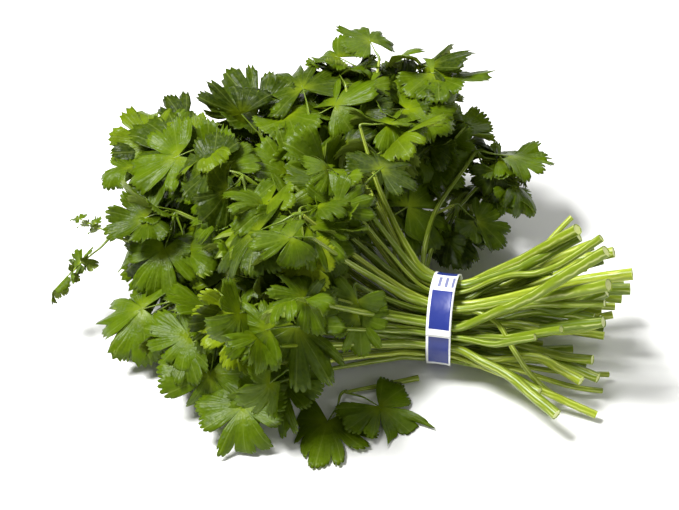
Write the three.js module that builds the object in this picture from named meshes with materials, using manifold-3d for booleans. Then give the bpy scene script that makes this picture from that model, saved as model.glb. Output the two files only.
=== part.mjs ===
// A coriander bunch: leafy sprigs gathered by a flat printed tie, lying on its side.
// Millimetres, +Z up, +X towards the cut stem ends. The model is laid out round a point on the
// table under the tie, and the last step moves its origin to the middle of its own footprint.
import * as THREE from "three";
import { mergeVertices } from "three/addons/utils/BufferGeometryUtils.js";
import Module from "manifold-3d";

const wasm = await Module();
wasm.setup();

// The tie: a laminated strip wrapped once round the stems, its outer end lapped over the inner one.
const TIE_RADIUS = 20.4;
const TIE_WIDTH = 11;
const TIE_THICKNESS = 0.4;
const TIE_HEIGHT = 22; // of the bundle's centre above the table
const TIE_LAP_DEG = 50;
const TIE_LAP_START_DEG = 110; // where the inner end lies, counted from +Y towards +Z
const TIE_STEP_DEG = 10;

// The stems, packed like pencils where the tie holds them.
const STEM_PITCH = 4.9; // between neighbouring stems in the tie
const STEM_PACK_RADIUS = 17.2; // of the outermost stem centres
const STEM_RADIUS = 2.05;
const STEM_TIP_SHARE = 0.55; // a stem's radius at its fork, as a share of STEM_RADIUS
const STEM_SIDES = 7;
const STEM_STEPS = 13;
const CUT_END_MIN = 57; // from the tie to the shortest cut end
const CUT_END_SPREAD = 26;
const SLOT_STRETCH = 2.2; // the head rises on one side only, while the stems fill the tie evenly
const SLOT_DROP = 14;
const FAN_ACROSS = 2.35; // how much the bundle opens between the tie and the cut ends
const FAN_UP = 2.05;
const FAN_RISE = 15; // of the fan's middle, so that its lowest stems lie on the table
const TIP_SHARE = 0.35; // of a stem's sideways shift that its fork follows
const CLEARANCE = 0.5; // between a stem's fork and the leaf stalks that grow from it

// One leaf at size 1: a thin stalk, two side lobes and an end lobe, as half widths along its length.
const LEAF_PROFILE = [
  [0, 0],
  [0, 0.9],
  [10, 0.9],
  [13, 8],
  [17, 15.5],
  [21, 17],
  [25, 13],
  [28, 8.5],
  [32, 11],
  [38, 12],
  [43, 7.5],
  [45, 0],
];
const LEAF_SIDES = 6;
const BLADE_HALF_THICKNESS = 0.65;
const NUDGE_STEP = 2.5; // how far a leaf or stem shifts at a time until it clears its neighbours

// Each sprig: where its stem forks, and the leaves that grow there. A leaf is [heading, pitch,
// roll, size, droop]: degrees round +Z from +X, above the horizontal, about its own length,
// then its scale, and how far its tip curls under. An arch is how far the middle of the stem
// stands off the straight way to its fork.
const SPRIGS = [
  { fork: [-72, 64, 78], leaves: [[112, 20, 0, 1.0, 35], [-60, -28, 5, 1.2, 35]] },
  { fork: [-54, 100, 80], leaves: [[-62, -35, 0, 1.0, 50], [150, 15, 10, 0.8, 40]] },
  { fork: [-24, 98, 66], arch: [-18, -4, 8], leaves: [[-75, -30, 10, 1.05, 45], [110, 20, 0, 0.75, 30]] },
  { fork: [2, 92, 48], leaves: [[15, -5, -15, 0.85, 25], [130, 25, 0, 0.8, 30]] },
  { fork: [6, 88, 34], leaves: [[10, 0, 0, 0.8, 45], [100, -40, 0, 0.95, 10]] },
  { fork: [-4, 68, 35], arch: [-13, 3, 8], leaves: [[-120, -35, 0, 0.65, 35], [-20, -15, 10, 0.65, 40]] },
  {
    fork: [-138, 50, 54],
    leaves: [[120, 15, 0, 0.95, 35], [150, -62, -10, 1.2, 15], [-155, 12, 20, 0.7, 20]],
  },
  { fork: [-104, 72, 62], leaves: [[-175, 8, 15, 0.85, 35], [80, 10, 0, 0.9, 45]] },
  { fork: [-112, 44, 74], leaves: [[-150, 0, 0, 0.95, 40]] },
  { fork: [-152, 8, 42], leaves: [[-140, -15, 25, 0.8, 25], [165, 8, -50, 0.5, 20]] },
  { fork: [-124, 16, 54], leaves: [[-105, -25, 0, 0.9, 45], [-160, 0, 10, 0.8, 45]] },
  { fork: [-116, -16, 30], leaves: [[-165, -22, 5, 0.85, 30]] },
  { fork: [-94, -40, 38], leaves: [[-92, -40, -5, 1.0, 30], [-152, -20, 0, 0.8, 40]] },
  { fork: [-76, -50, 27], leaves: [[-98, -30, 10, 0.9, 15]] },
  { fork: [-88, -32, 62], leaves: [[-60, -35, 0, 0.95, 35]] },
  { fork: [-68, -40, 66], leaves: [[-50, -35, 15, 1.0, 30]] },
  { fork: [-60, -18, 88], leaves: [[-150, 0, 0, 1.0, 45], [-80, -35, 25, 0.75, 40]] },
  { fork: [-44, 4, 80], leaves: [[60, 25, 0, 0.9, 45]] },
  { fork: [-36, -22, 56], leaves: [[-75, -40, 0, 0.65, 35]] },
  { fork: [-56, -38, 29], leaves: [[-118, -35, 0, 0.85, 15]] },
  { fork: [-92, 14, 80], leaves: [[-85, -15, 5, 0.95, 45], [165, 10, 0, 0.85, 40]] },
];
// One sprig that slipped out of the tie lies in front of it.
const LOOSE_SPRIG = {
  fork: [-38, -34, 3],
  cutEnd: [-8, -19, 2.5],
  leaves: [[-104, -1, 0, 1.05, 3], [-30, -1, 0, 0.85, 3]],
};

// The same spread of values from 0 to 1 on every run.
let seed = 7;
function chance() {
  seed = (seed * 16807) % 2147483647;
  return seed / 2147483647;
}
const between = (low, high) => low + (high - low) * chance();

const GREEN = { stem: 0x9cbf4e, leaf: 0x5f8a26 };
const plant = (color) => new THREE.MeshStandardMaterial({ color, roughness: 0.5, metalness: 0 });
const stemMaterial = plant(GREEN.stem);
const leafMaterial = plant(GREEN.leaf);
const tieMaterial = new THREE.MeshStandardMaterial({ color: 0xf2f2ee, roughness: 0.45, metalness: 0 });

const bunch = new THREE.Group();
const placed = []; // { solid, box } of every piece so far, for the overlap test

// A mesh as a solid in the bunch's frame.
function solidOf(mesh) {
  mesh.updateMatrix();
  const bare = new THREE.BufferGeometry()
    .setAttribute("position", mesh.geometry.getAttribute("position").clone())
    .setIndex(mesh.geometry.index)
    .applyMatrix4(mesh.matrix);
  const merged = mergeVertices(bare, 1e-3);
  merged.computeBoundingBox();
  return {
    box: merged.boundingBox,
    solid: new wasm.Manifold(
      new wasm.Mesh({
        numProp: 3,
        vertProperties: merged.attributes.position.array,
        triVerts: new Uint32Array(merged.index.array),
      }),
    ),
  };
}

function isClear(candidate) {
  return candidate.box.min.z > 0 &&
    placed.every((other) =>
      !candidate.box.intersectsBox(other.box) ||
      candidate.solid.minGap(other.solid, 1) > 0.25);
}

// Adds the first of several versions of a piece that clears everything already placed.
function addClear(name, versions) {
  for (const make of versions) {
    const mesh = make();
    const candidate = solidOf(mesh);
    if (isClear(candidate)) {
      mesh.name = name;
      bunch.add(mesh);
      placed.push(candidate);
      return mesh;
    }
  }
  throw new Error(name + " finds no clear place");
}

// Shifts to try, nearest first: none, then shells of growing size in all directions.
function* shifts(shells) {
  yield new THREE.Vector3();
  const turn = Math.PI * (3 - Math.sqrt(5));
  for (let shell = 1; shell <= shells; shell++) {
    const count = 6 + 4 * shell;
    for (let i = 0; i < count; i++) {
      const up = 1 - (2 * i + 1) / count;
      const flat = Math.sqrt(1 - up * up);
      yield new THREE.Vector3(Math.cos(turn * i) * flat, Math.sin(turn * i) * flat, up)
        .multiplyScalar(shell * NUDGE_STEP);
    }
  }
}

// The tie's strip follows a circle that opens a little, so that its ends lap without touching.
function makeTie() {
  const inner = [];
  const outer = [];
  const turn = 360 + TIE_LAP_DEG;
  for (let a = 0; a <= turn; a += TIE_STEP_DEG) {
    const angle = THREE.MathUtils.degToRad(TIE_LAP_START_DEG + a);
    const r = TIE_RADIUS + Math.max(0, a - 180) / (turn - 180) * 2.6 * TIE_THICKNESS;
    inner.push(new THREE.Vector2(r * Math.cos(angle), r * Math.sin(angle)));
    const out = r + TIE_THICKNESS;
    outer.push(new THREE.Vector2(out * Math.cos(angle), out * Math.sin(angle)));
  }
  const strip = new THREE.Shape([...outer, ...inner.reverse()]);
  const geometry = new THREE.ExtrudeGeometry(strip, { depth: TIE_WIDTH, bevelEnabled: false });
  const tie = new THREE.Mesh(geometry, tieMaterial);
  // The strip is drawn in X and Y: turned into Y and Z, so that its width runs along the stems.
  tie.setRotationFromMatrix(
    new THREE.Matrix4().makeBasis(
      new THREE.Vector3(0, 1, 0),
      new THREE.Vector3(0, 0, 1),
      new THREE.Vector3(1, 0, 0),
    ),
  );
  tie.position.set(-TIE_WIDTH / 2, 0, TIE_HEIGHT);
  return tie;
}

// A tapering tube along a smooth path, from its cut end to its fork.
function makeStem(points, radius) {
  const path = new THREE.CatmullRomCurve3(points, false, "centripetal");
  const section = new THREE.Shape(
    Array.from({ length: STEM_SIDES }, (_, i) => {
      const angle = (2 * Math.PI * i) / STEM_SIDES;
      return new THREE.Vector2(radius * Math.cos(angle), radius * Math.sin(angle));
    }),
  );
  const geometry = new THREE.ExtrudeGeometry(section, { steps: STEM_STEPS, extrudePath: path });
  const centres = path.getSpacedPoints(STEM_STEPS);
  const position = geometry.getAttribute("position");
  const vertex = new THREE.Vector3();
  for (let i = 0; i < position.count; i++) {
    vertex.fromBufferAttribute(position, i);
    let step = 0;
    centres.forEach((c, k) => {
      if (vertex.distanceTo(c) < vertex.distanceTo(centres[step])) step = k;
    });
    const share = THREE.MathUtils.lerp(1, STEM_TIP_SHARE, step / STEM_STEPS);
    vertex.sub(centres[step]).multiplyScalar(share).add(centres[step]);
    position.setXYZ(i, vertex.x, vertex.y, vertex.z);
  }
  return new THREE.Mesh(geometry, stemMaterial);
}

// A leaf as a flattened lathe shape whose spine curls under by droop degrees.
function makeLeaf(fork, [heading, pitch, roll, size, droop], shift) {
  const profile = LEAF_PROFILE.map(([x, half]) => new THREE.Vector2(half * size, x * size));
  const geometry = new THREE.LatheGeometry(profile, LEAF_SIDES);
  const length = profile.at(-1).y;
  const bend = THREE.MathUtils.degToRad(droop) / length;
  const position = geometry.getAttribute("position");
  for (let i = 0; i < position.count; i++) {
    const half = profile[i % profile.length].x;
    const along = position.getY(i);
    const across = -position.getX(i);
    const flat = Math.min(1, BLADE_HALF_THICKNESS / Math.max(half, 1e-6));
    const height = position.getZ(i) * flat;
    const angle = bend * along;
    position.setXYZ(
      i,
      Math.sin(angle) / bend + height * Math.sin(angle),
      across,
      (Math.cos(angle) - 1) / bend + height * Math.cos(angle),
    );
  }
  const leaf = new THREE.Mesh(geometry, leafMaterial);
  const rad = THREE.MathUtils.degToRad;
  leaf.rotation.set(rad(roll), rad(-pitch), rad(heading), "ZYX");
  const stalkGap = new THREE.Vector3(STEM_RADIUS * 0.6 + CLEARANCE, 0, 0).applyEuler(leaf.rotation);
  leaf.position.copy(fork).add(stalkGap).add(shift);
  return leaf;
}

// Hexagonally packed places in the tie, as [y, z] from the bundle's centre.
function stemSlots() {
  const slots = [];
  const rows = Math.ceil(STEM_PACK_RADIUS / STEM_PITCH) + 1;
  for (let row = -rows; row <= rows; row++) {
    for (let column = -rows; column <= rows; column++) {
      const y = (column + (row % 2 ? 0.5 : 0)) * STEM_PITCH;
      const z = row * STEM_PITCH * Math.sqrt(0.75);
      if (Math.hypot(y, z) <= STEM_PACK_RADIUS) slots.push([y, z]);
    }
  }
  return slots;
}

// A sprig leaves the tie on the side its fork lies, so that the stems fan out without crossing:
// slots are swapped between sprigs for as long as that brings them nearer to where they head.
function shareSlots(slots, forks) {
  const wanted = forks.map((fork) => {
    const pull = STEM_PACK_RADIUS / Math.hypot(fork.x, fork.y, fork.z - TIE_HEIGHT);
    return [fork.y * pull, (fork.z - TIE_HEIGHT) * pull * SLOT_STRETCH - SLOT_DROP];
  });
  const order = slots.map((_, i) => i);
  const miss = (sprig, slot) =>
    sprig < wanted.length
      ? Math.hypot(slots[slot][0] - wanted[sprig][0], slots[slot][1] - wanted[sprig][1])
      : 0;
  let improved = true;
  while (improved) {
    improved = false;
    for (let i = 0; i < wanted.length; i++) {
      for (let j = i + 1; j < order.length; j++) {
        const now = miss(i, order[i]) + miss(j, order[j]);
        const swapped = miss(i, order[j]) + miss(j, order[i]);
        if (swapped < now - 1e-6) {
          [order[i], order[j]] = [order[j], order[i]];
          improved = true;
        }
      }
    }
  }
  return forks.map((_, i) => slots[order[i]]);
}

// The stem's path: cut end, straight through the tie, and out to the fork.
function stemPath(fork, [y, z], cutEnd, arch) {
  const held = (x) => new THREE.Vector3(x, y, TIE_HEIGHT + z);
  const fanned = held(TIE_WIDTH * 0.7).lerp(cutEnd, 0.45);
  const middle = held(-TIE_WIDTH).lerp(fork, 0.5);
  middle.x -= 0.1 * Math.abs(fork.y);
  middle.add(arch);
  return [cutEnd, fanned, held(TIE_WIDTH * 0.7), held(-TIE_WIDTH * 0.7), middle, fork];
}

addClear("tie", [makeTie]);

const forks = SPRIGS.map(({ fork }) => new THREE.Vector3(...fork));
const slots = shareSlots(stemSlots(), forks);
const cutEnds = slots.map(([y, z]) => {
  const x = CUT_END_MIN + CUT_END_SPREAD * chance();
  return new THREE.Vector3(
    x,
    y * FAN_ACROSS + between(-2, 2),
    TIE_HEIGHT + (FAN_RISE * x) / CUT_END_MIN + z * FAN_UP + between(-2, 2),
  );
});
const sprigs = SPRIGS.map((sprig, i) => ({ ...sprig, i, label: String(i + 1).padStart(2, "0") }));
const innerFirst = [...sprigs].sort((a, b) => Math.hypot(...slots[a.i]) - Math.hypot(...slots[b.i]));
for (const { i, label, arch = [0, 0, 0] } of innerFirst) {
  const versions = [...shifts(9)].map((shift) => () => {
    const tip = forks[i].clone().addScaledVector(shift, TIP_SHARE);
    const middleShift = new THREE.Vector3(...arch).add(shift);
    const stem = makeStem(stemPath(tip, slots[i], cutEnds[i], middleShift), STEM_RADIUS);
    stem.userData.tip = tip;
    return stem;
  });
  forks[i].copy(addClear(`stem_${label}`, versions).userData.tip);
}
const looseFork = new THREE.Vector3(...LOOSE_SPRIG.fork);
const looseEnd = new THREE.Vector3(...LOOSE_SPRIG.cutEnd);
addClear("stem_loose", [
  () => makeStem([looseEnd, looseEnd.clone().lerp(looseFork, 0.5), looseFork], STEM_RADIUS),
]);
const heads = sprigs.map(({ i, leaves, label }) => ({ fork: forks[i], leaves, label }));
for (const { fork, leaves, label } of [{ ...LOOSE_SPRIG, fork: looseFork, label: "loose" }, ...heads]) {
  leaves.forEach((leaf, side) =>
    addClear(
      `leaf_${label}${leaves.length > 1 ? "abc"[side] : ""}`,
      [...shifts(6)].map((shift) => () => makeLeaf(fork, leaf, shift)),
    ));
}

// The origin goes to the middle of the bunch's own footprint, on the table.
bunch.updateMatrixWorld(true);
const extent = new THREE.Box3().setFromObject(bunch, true);
const middle = extent.getCenter(new THREE.Vector3());
bunch.position.set(-middle.x, -middle.y, -extent.min.z);

export default bunch;
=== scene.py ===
"""A bunch of fresh coriander on its side: toothed leaves, ribbed stems and a printed paper tie."""
import math

import bmesh
import bpy
import numpy as np
from mathutils import Matrix, Vector


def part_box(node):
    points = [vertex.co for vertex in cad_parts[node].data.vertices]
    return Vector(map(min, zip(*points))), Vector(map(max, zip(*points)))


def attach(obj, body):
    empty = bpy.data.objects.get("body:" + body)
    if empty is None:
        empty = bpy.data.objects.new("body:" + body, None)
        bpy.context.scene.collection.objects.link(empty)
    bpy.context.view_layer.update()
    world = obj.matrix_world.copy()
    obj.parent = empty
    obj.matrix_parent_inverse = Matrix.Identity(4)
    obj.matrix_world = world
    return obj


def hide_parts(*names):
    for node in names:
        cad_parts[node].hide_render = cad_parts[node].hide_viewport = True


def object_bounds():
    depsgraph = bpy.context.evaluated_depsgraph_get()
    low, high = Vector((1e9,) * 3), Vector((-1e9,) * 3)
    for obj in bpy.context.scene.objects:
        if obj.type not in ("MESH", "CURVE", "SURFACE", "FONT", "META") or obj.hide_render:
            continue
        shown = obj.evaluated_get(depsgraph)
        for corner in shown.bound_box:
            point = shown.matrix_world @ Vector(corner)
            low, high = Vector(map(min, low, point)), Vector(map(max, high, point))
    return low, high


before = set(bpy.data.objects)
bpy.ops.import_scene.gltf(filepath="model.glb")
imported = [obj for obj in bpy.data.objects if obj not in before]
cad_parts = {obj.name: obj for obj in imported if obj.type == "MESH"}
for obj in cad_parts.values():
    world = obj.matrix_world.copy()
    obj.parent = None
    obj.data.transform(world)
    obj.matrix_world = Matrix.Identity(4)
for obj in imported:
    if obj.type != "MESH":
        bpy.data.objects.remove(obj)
CAD_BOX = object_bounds()

bl_info = {
    "name": "Coriander bunch",
    "version": (1, 0, 0),
    "blender": (4, 5, 0),
    "location": "View3D > Sidebar > Coriander",
    "description": "Makes a bunch of fresh coriander round its packed frame",
    "category": "Object",
}

MM = 0.001
STEM_SECTION_POINTS = 7  # round a stem's section in the frame
STEM_END_REACH = 26 * MM  # a stem's first sections lie within this of its cut end
LEAF_FOOT_REACH = 2.2 * MM  # the points of a leaf's foot lie within this of its farthest one
STALK_SHARE = 0.25  # a leaf's plate is stalk up to this share of its length
STEM_NODES = sorted(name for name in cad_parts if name.startswith("stem"))
LEAF_NODES = sorted(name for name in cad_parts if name.startswith("leaf"))
TIE_LOW, TIE_HIGH = (np.array(corner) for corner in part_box("tie"))
TIE_CENTRE = (TIE_LOW + TIE_HIGH) / 2
UP = np.array((0.0, 0.0, 1.0))


# ---------------------------------------------------------------- small helpers

def unit(v):
    """The vector at length 1."""
    return v / max(np.linalg.norm(v), 1e-12)


def turned(v, axis, angle):
    """The vector turned about an axis by an angle in radians."""
    return np.array(Matrix.Rotation(angle, 3, Vector(axis)) @ Vector(v))


def hex_colour(text):
    """An sRGB hex colour as linear RGBA."""
    parts = [int(text[i:i + 2], 16) / 255 for i in (0, 2, 4)]
    return tuple(c / 12.92 if c <= 0.04045 else ((c + 0.055) / 1.055) ** 2.4 for c in parts) + (1.0,)


def add_node(tree, kind, settings=None, inputs=None, links=None):
    """A node with its settings, its input values and what is linked into its inputs."""
    node = tree.nodes.new(kind)
    for key, value in (settings or {}).items():
        setattr(node, key, value)
    for key, value in (inputs or {}).items():
        node.inputs[key].default_value = value
    for key, socket in (links or {}).items():
        tree.links.new(socket, node.inputs[key])
    return node


def welded(points, tolerance=0.02 * MM):
    """The points with those that coincide taken once."""
    kept = []
    for p in points:
        if not kept or np.min(np.linalg.norm(np.array(kept) - p, axis=1)) > tolerance:
            kept.append(p)
    return np.array(kept)


def frame_points(node):
    """The welded vertices of a frame node, in metres."""
    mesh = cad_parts[node].data
    points = np.empty(len(mesh.vertices) * 3, dtype=np.float32)
    mesh.vertices.foreach_get("co", points)
    return welded(points.reshape(-1, 3).astype(float))


# ---------------------------------------------------------------- what the frame says

def stem_centres(node):
    """A stem's section centres and radii, from its cut end to its fork."""
    points = frame_points(node)
    end = points[np.argmax(points[:, 0])]
    near = points[np.linalg.norm(points - end, axis=1) < STEM_END_REACH]
    inwards = unit(near.mean(0) - end)
    ring = near[np.argsort((near - end) @ inwards)[:STEM_SECTION_POINTS]]
    centres, radii = [], []
    left = points
    while True:
        centre = ring.mean(0)
        centres.append(centre)
        radii.append(np.linalg.norm(ring - centre, axis=1).mean())
        taken = {tuple(p) for p in ring}
        left = np.array([p for p in left if tuple(p) not in taken])
        if len(left) < STEM_SECTION_POINTS:
            return np.array(centres), np.array(radii)
        ring = left[np.argsort(np.linalg.norm(left - centre, axis=1))[:STEM_SECTION_POINTS]]


class LeafPlace:
    """Where a leaf lies: its stalk's foot, its own axes, its length and how far it sags."""

    def __init__(self, foot, along, normal, length, sag=0.0):
        self.foot = np.array(foot)
        self.along = unit(np.array(along))
        self.across = unit(np.cross(normal, self.along))
        self.normal = np.cross(self.along, self.across)
        self.length = length
        self.sag = sag

    def spine(self, share):
        """A point on the leaf's middle line, which bows above the straight line foot to tip."""
        rise = 4 * self.sag * share * (1 - share)
        return self.foot + self.along * self.length * share + self.normal * rise

    def heading(self, share):
        """The middle line's direction at a share of its length."""
        return unit(self.along * self.length + self.normal * 4 * self.sag * (1 - 2 * share))


def leaf_place(node):
    """Reads a leaf's place from its plate in the frame."""
    points = frame_points(node)
    centre = points.mean(0)
    far = points[np.argmax(np.linalg.norm(points - centre, axis=1))]
    foot = points[np.linalg.norm(points - far, axis=1) < LEAF_FOOT_REACH].mean(0)
    tip = points[np.argmax(np.linalg.norm(points - foot, axis=1))]
    along = unit(tip - foot)
    length = np.linalg.norm(tip - foot)
    share = (points - foot) @ along / length
    blade = points[share > STALK_SHARE]
    axes = np.linalg.svd(blade - blade.mean(0))[2]
    across = unit(axes[1] - along * (axes[1] @ along))
    if abs(axes[0] @ along) < abs(axes[1] @ along):
        across = unit(axes[0] - along * (axes[0] @ along))
    normal = np.cross(along, across)
    if normal[2] < 0:
        normal = -normal
    middle = (share > 0.3) & (share < 0.8)  # where the plate stands clear of the straight line
    sag = float(np.mean((points[middle] - foot) @ normal / (4 * share[middle] * (1 - share[middle]))))
    return LeafPlace(foot, along, normal, length, sag)


STEMS = {node: stem_centres(node) for node in STEM_NODES}
LEAVES = {node: leaf_place(node) for node in LEAF_NODES}


# ---------------------------------------------------------------- settings

class CorianderLeafSettings(bpy.types.PropertyGroup):
    """Sizes and colours of the leaves."""
    variants: bpy.props.IntProperty(
        name="Blade shapes", description="How many different blades are drawn", default=20, min=3)
    thickness: bpy.props.FloatProperty(
        name="Blade thickness", description="Thickness of a blade", default=0.3 * MM,
        subtype="DISTANCE", unit="LENGTH")
    seed: bpy.props.IntProperty(name="Seed", description="Fixes every random choice", default=11)
    face: bpy.props.StringProperty(name="Face", description="Leaf upper side, sRGB hex", default="567000")
    deep: bpy.props.StringProperty(name="Deep", description="Darkest leaves, sRGB hex", default="243600")
    young: bpy.props.StringProperty(name="Young", description="Youngest leaves, sRGB hex", default="94a812")
    under: bpy.props.StringProperty(
        name="Underside", description="Leaf underside, sRGB hex", default="75882a")
    glow: bpy.props.StringProperty(
        name="Glow", description="Light through a leaf, sRGB hex", default="b2b800")


class CorianderStemSettings(bpy.types.PropertyGroup):
    """Sizes and colours of the stems."""
    inner_count: bpy.props.IntProperty(
        name="Inner stems", description="Stems packed between those of the frame", default=24)
    radius: bpy.props.FloatProperty(
        name="Stem radius", description="Radius of an inner stem in the tie", default=1.7 * MM,
        subtype="DISTANCE", unit="LENGTH")
    spread: bpy.props.FloatProperty(
        name="Spread", description="How much inner stems fan out towards their cut ends", default=2.2)
    sides: bpy.props.IntProperty(name="Sides", description="Sides of a stem's section", default=12)
    skin: bpy.props.StringProperty(name="Skin", description="Stem colour, sRGB hex", default="a0ae30")
    shade: bpy.props.StringProperty(name="Shade", description="Greener streaks, sRGB hex", default="5a7006")
    pith: bpy.props.StringProperty(name="Pith", description="Cut end, sRGB hex", default="ced58c")


class CorianderTieSettings(bpy.types.PropertyGroup):
    """Sizes and colours of the tie."""
    thickness: bpy.props.FloatProperty(
        name="Thickness", description="Thickness of the strip", default=0.4 * MM,
        subtype="DISTANCE", unit="LENGTH")
    lap: bpy.props.FloatProperty(
        name="Lap", description="How far the strip laps over itself", default=math.radians(50),
        subtype="ANGLE", unit="ROTATION")
    start: bpy.props.FloatProperty(
        name="Start", description="Where the inner end lies, from +Y towards +Z",
        default=math.radians(110), subtype="ANGLE", unit="ROTATION")
    paper: bpy.props.StringProperty(name="Paper", description="Paper colour, sRGB hex", default="f1f2f0")
    print: bpy.props.StringProperty(name="Print", description="Printed blocks, sRGB hex", default="1e2f80")


# ---------------------------------------------------------------- materials

# Lesser colours, sRGB hex.
VEIN = "a3b457"
VEIN_NET = "8ea02c"
UNDER_YOUNG = "a3b35a"
UNDER_VEIN = "b5c07a"
PALE_RIB_AND_HIGHLIGHT = "d9de94"
PITH_GRAIN = "c3ca78"
TABLE = "f4f4f2"


def new_material(name):
    """An empty node material with its Principled shader and output."""
    material = bpy.data.materials.new(name)
    material.use_nodes = True
    tree = material.node_tree
    tree.nodes.clear()
    shader = add_node(tree, "ShaderNodeBsdfPrincipled")
    output = add_node(tree, "ShaderNodeOutputMaterial", links={"Surface": shader.outputs[0]})
    return material, tree, shader, output


def mix_colour(tree, factor, a, b, blend="MIX"):
    """A colour mix: a and b are colours or sockets, factor a number or a socket."""
    node = add_node(tree, "ShaderNodeMix", {"data_type": "RGBA", "blend_type": blend})
    for socket, value in ((node.inputs[0], factor), (node.inputs[6], a), (node.inputs[7], b)):
        if isinstance(value, bpy.types.NodeSocket):
            tree.links.new(value, socket)
        else:
            socket.default_value = value
    return node.outputs[2]


def ramp(tree, source, low, high):
    """Maps low..high of a socket to 0..1 smoothly."""
    node = add_node(tree, "ShaderNodeMapRange", {"interpolation_type": "SMOOTHSTEP"},
                    {"From Min": low, "From Max": high}, {"Value": source})
    return node.outputs["Result"]


def attribute(tree, name):
    """A float attribute of the mesh."""
    return add_node(tree, "ShaderNodeAttribute", {"attribute_name": name}).outputs["Fac"]


def calculate(tree, operation, a, b=None):
    """A Math node: a and b are sockets or numbers."""
    node = add_node(tree, "ShaderNodeMath", {"operation": operation})
    for socket, value in zip(node.inputs, (a, b)):
        if isinstance(value, bpy.types.NodeSocket):
            tree.links.new(value, socket)
        elif value is not None:
            socket.default_value = value
    return node.outputs[0]


def leaf_material(settings):
    """Fresh coriander leaf: thin, satin, with sunken veins that fan out to every tooth, a paler
    matt underside, and a yellow-green glow where light comes through."""
    material, tree, shader, output = new_material("Coriander leaf, fresh")
    position = add_node(tree, "ShaderNodeTexCoord").outputs["Object"]
    tint = attribute(tree, "tint")
    under = attribute(tree, "under")
    vein = attribute(tree, "vein")
    main_vein = attribute(tree, "main_vein")
    reach = attribute(tree, "reach")
    # Patches of deeper and yellower green, 12 mm across, as on any living leaf.
    patches = add_node(tree, "ShaderNodeTexNoise", inputs={"Scale": 1 / (12 * MM), "Detail": 3.0},
                       links={"Vector": position}).outputs["Fac"]
    # The net of the smallest veins, in 1.3 mm cells: coarser than it is, so that it shows.
    cells = add_node(tree, "ShaderNodeTexVoronoi", {"feature": "SMOOTH_F1"},
                     {"Scale": 1 / (1.3 * MM)}, {"Vector": position}).outputs["Distance"]
    green = mix_colour(tree, ramp(tree, tint, 0.0, 0.5), hex_colour(settings.deep),
                       hex_colour(settings.face))
    green = mix_colour(tree, ramp(tree, tint, 0.55, 1.0), green, hex_colour(settings.young))
    green = mix_colour(tree, calculate(tree, "MULTIPLY", ramp(tree, patches, 0.4, 0.7), 0.35),
                       green, hex_colour(settings.deep))
    # The heart of each blade is yellower, where its veins come together.
    foot = calculate(tree, "MULTIPLY", ramp(tree, reach, 0.45, 0.0), 0.5)
    green = mix_colour(tree, foot, green, hex_colour(settings.young))
    # Veins thin out towards the edge, and the ones to the lobes are the widest.
    fine_line = calculate(tree, "MULTIPLY", ramp(tree, vein, 0.7, 1.0), 0.05)
    main_line = calculate(tree, "MULTIPLY", ramp(tree, main_vein, 0.5, 1.0), 0.25)
    line = calculate(tree, "MAXIMUM", fine_line, main_line)
    green = mix_colour(tree, line, green, hex_colour(VEIN))
    back = mix_colour(tree, calculate(tree, "MULTIPLY", ramp(tree, tint, 0.0, 1.0), 0.35),
                      hex_colour(settings.under), hex_colour(UNDER_YOUNG))
    back = mix_colour(tree, line, back, hex_colour(UNDER_VEIN))
    green = mix_colour(tree, calculate(tree, "MULTIPLY", ramp(tree, cells, 0.25, 0.6), 0.1),
                       green, hex_colour(VEIN_NET))
    colour = mix_colour(tree, ramp(tree, under, 0.3, 0.7), green, back)
    # The blade swells between its veins and puckers in 4 mm patches.
    puckers = add_node(tree, "ShaderNodeTexNoise", inputs={"Scale": 1 / (4 * MM), "Detail": 4.0},
                       links={"Vector": position}).outputs["Fac"]
    ribs = calculate(tree, "MULTIPLY", ramp(tree, vein, 0.2, 1.0), reach)
    ribs = calculate(tree, "MULTIPLY", ribs, -0.14)
    height = calculate(tree, "ADD", calculate(tree, "MULTIPLY", cells, -0.2),
                       calculate(tree, "ADD", ribs, calculate(tree, "MULTIPLY", puckers, 1.5)))
    height = calculate(tree, "SUBTRACT", height, calculate(tree, "MULTIPLY", line, 0.8))
    bump = add_node(tree, "ShaderNodeBump", inputs={"Strength": 0.7, "Distance": 0.6 * MM},
                    links={"Height": height})
    rough = add_node(tree, "ShaderNodeMapRange", inputs={"To Min": 0.28, "To Max": 0.42},
                     links={"Value": patches})
    tree.links.new(colour, shader.inputs["Base Color"])
    tree.links.new(rough.outputs["Result"], shader.inputs["Roughness"])
    tree.links.new(bump.outputs["Normal"], shader.inputs["Normal"])
    shader.inputs["IOR"].default_value = 1.42
    shader.inputs["Specular IOR Level"].default_value = 0.24
    glow_colour = mix_colour(tree, 0.55, colour, hex_colour(settings.glow))
    glow = add_node(tree, "ShaderNodeBsdfTranslucent", links={"Color": glow_colour})
    both = add_node(tree, "ShaderNodeMixShader", inputs={0: 0.3},
                    links={1: shader.outputs[0], 2: glow.outputs[0]})
    tree.links.new(both.outputs[0], output.inputs["Surface"])
    return material


STEM_RIBS = 6.0  # round a stem: fewer and coarser than on a real one, so that they show


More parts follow.
